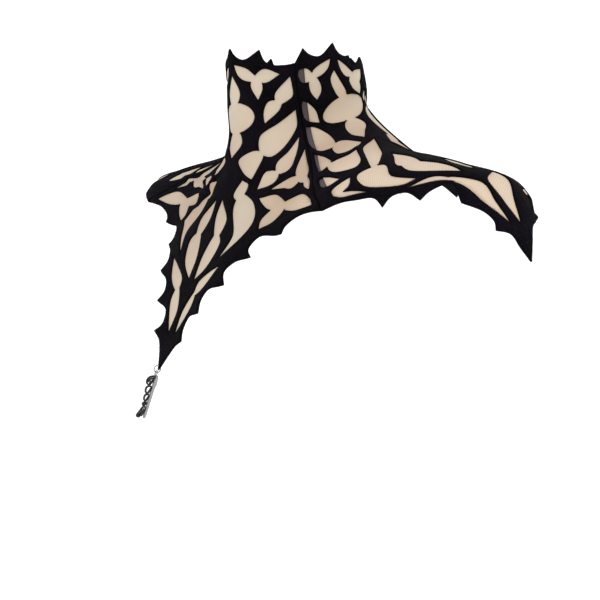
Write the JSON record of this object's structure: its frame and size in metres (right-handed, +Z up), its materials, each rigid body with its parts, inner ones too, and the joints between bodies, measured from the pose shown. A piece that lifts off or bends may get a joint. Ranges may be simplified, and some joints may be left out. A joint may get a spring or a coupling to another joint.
{
  "type": "embroidered tulle collar",
  "caption": "Stand-up collar of sheer tulle under black cut tracery with spiked bat-wing edges, spreading into points over the chest and shoulders, with a small metal pull at the front point.",
  "frame": {"origin": "on the axis of the neck hollow, level with the foot of the stand, where the neck sits", "axes": "+Z up along the neck, -Y towards the front point, +X towards the wearer's left shoulder"},
  "size_m": [0.4158, 0.2239, 0.2465],
  "materials": {
    "black_embroidery": "dense matt black embroidery with a faint stitched edge",
    "nude_tulle": "fine nude tulle mesh",
    "dark_mesh": "thin smoky mesh",
    "old_silver": "antique silver, darkened in its recesses"
  },
  "bodies": {
    "root": {"tracery_front": "black_embroidery", "tracery_left": "black_embroidery", "tracery_right": "black_embroidery", "tulle_front": "nude_tulle", "tulle_left": "nude_tulle", "tulle_right": "nude_tulle", "underlap_strip": "dark_mesh", "jump_ring": "old_silver", "pull": "old_silver"}
  },
  "joints": []
}
